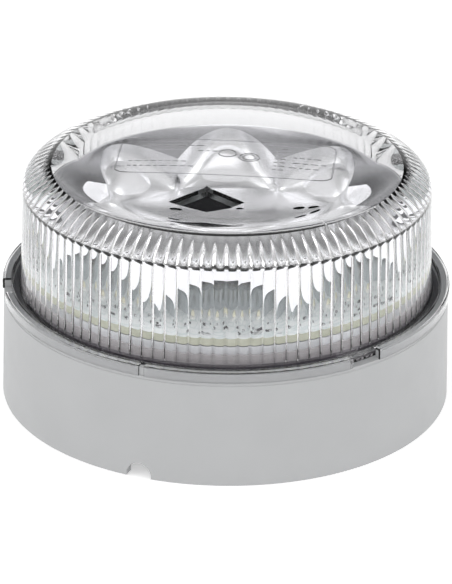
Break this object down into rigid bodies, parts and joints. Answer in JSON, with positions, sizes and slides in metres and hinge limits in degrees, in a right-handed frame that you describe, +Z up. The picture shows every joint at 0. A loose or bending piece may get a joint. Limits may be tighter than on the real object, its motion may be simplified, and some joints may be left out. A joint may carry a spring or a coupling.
{
  "type": "strobe beacon",
  "caption": "Low round warning beacon: grey base, clear fluted twist-lock lens, petal reflector over a ring of light-emitting diodes.",
  "frame": {"origin": "centre of the mounting face, under the base housing", "axes": "+Z up, out through the lens; -Y is the front, +X is to the right of it"},
  "size_m": [0.156, 0.156, 0.0874],
  "materials": {
    "housing": "satin silver-grey moulded plastic",
    "brass": "machined",
    "foam": "closed-cell foam",
    "rubber": "moulded",
    "black_plastic": "moulded",
    "grey_plastic": "moulded",
    "green_board": "solder mask",
    "screws": "zinc plated",
    "can_metal": "drawn can",
    "ferrite": "ground",
    "white_plastic": "moulded",
    "fuse_glass": "clear tube",
    "spring_brass": "tinned spring strip",
    "heat_sink": "die cast",
    "thermal_pad": "silicone",
    "white_board": "white solder mask on a pale laminate",
    "phosphor": "silicone dome",
    "chips": "matt",
    "gold_pins": "plated",
    "mirror_coat": "vacuum metallised",
    "clear_lens": "clear moulded plastic, smooth outside and fluted inside"
  },
  "bodies": {
    "base": {"base_housing": "housing", "threaded_inserts": "brass", "mounting_gasket": "foam", "cable_grommet": "rubber", "vent_plug": "black_plastic", "board_standoffs": "brass", "driver_board": "green_board", "driver_screws": "screws", "capacitors": "can_metal", "inductors": "ferrite", "power_transistors": "black_plastic", "controller_chip": "black_plastic", "supply_connector": "white_plastic", "fuse_cartridge": "fuse_glass", "fuse_clips": "spring_brass", "inner_carrier": "grey_plastic", "carrier_screws": "screws", "heat_sink": "heat_sink", "heat_sink_screws": "screws", "thermal_pad": "thermal_pad", "led_board": "white_board", "led_board_screws": "screws", "led_packages": "white_plastic", "led_domes": "phosphor", "board_chips": "chips", "board_plug": "black_plastic", "link_header": "black_plastic", "link_pins": "gold_pins", "reflector": "mirror_coat", "reflector_screws": "screws"},
    "seal": {"lens_seal": "rubber"},
    "lens": {"lens_cover": "clear_lens"}
  },
  "joints": [
    {"name": "lens_lift", "type": "slide", "parent": "base", "child": "seal", "axis": [0, 0, 1], "range_m": [0, 0.00121]},
    {"name": "lens_turn", "type": "hinge", "parent": "seal", "child": "lens", "pos_m": [0, 0, 0.04], "axis": [0, 0, 1], "range_deg": [0, 20]}
  ],
  "couplings": [
    {"joint": "lens_lift", "follows": "lens_turn", "m_per_rad": 0.0034377}
  ]
}
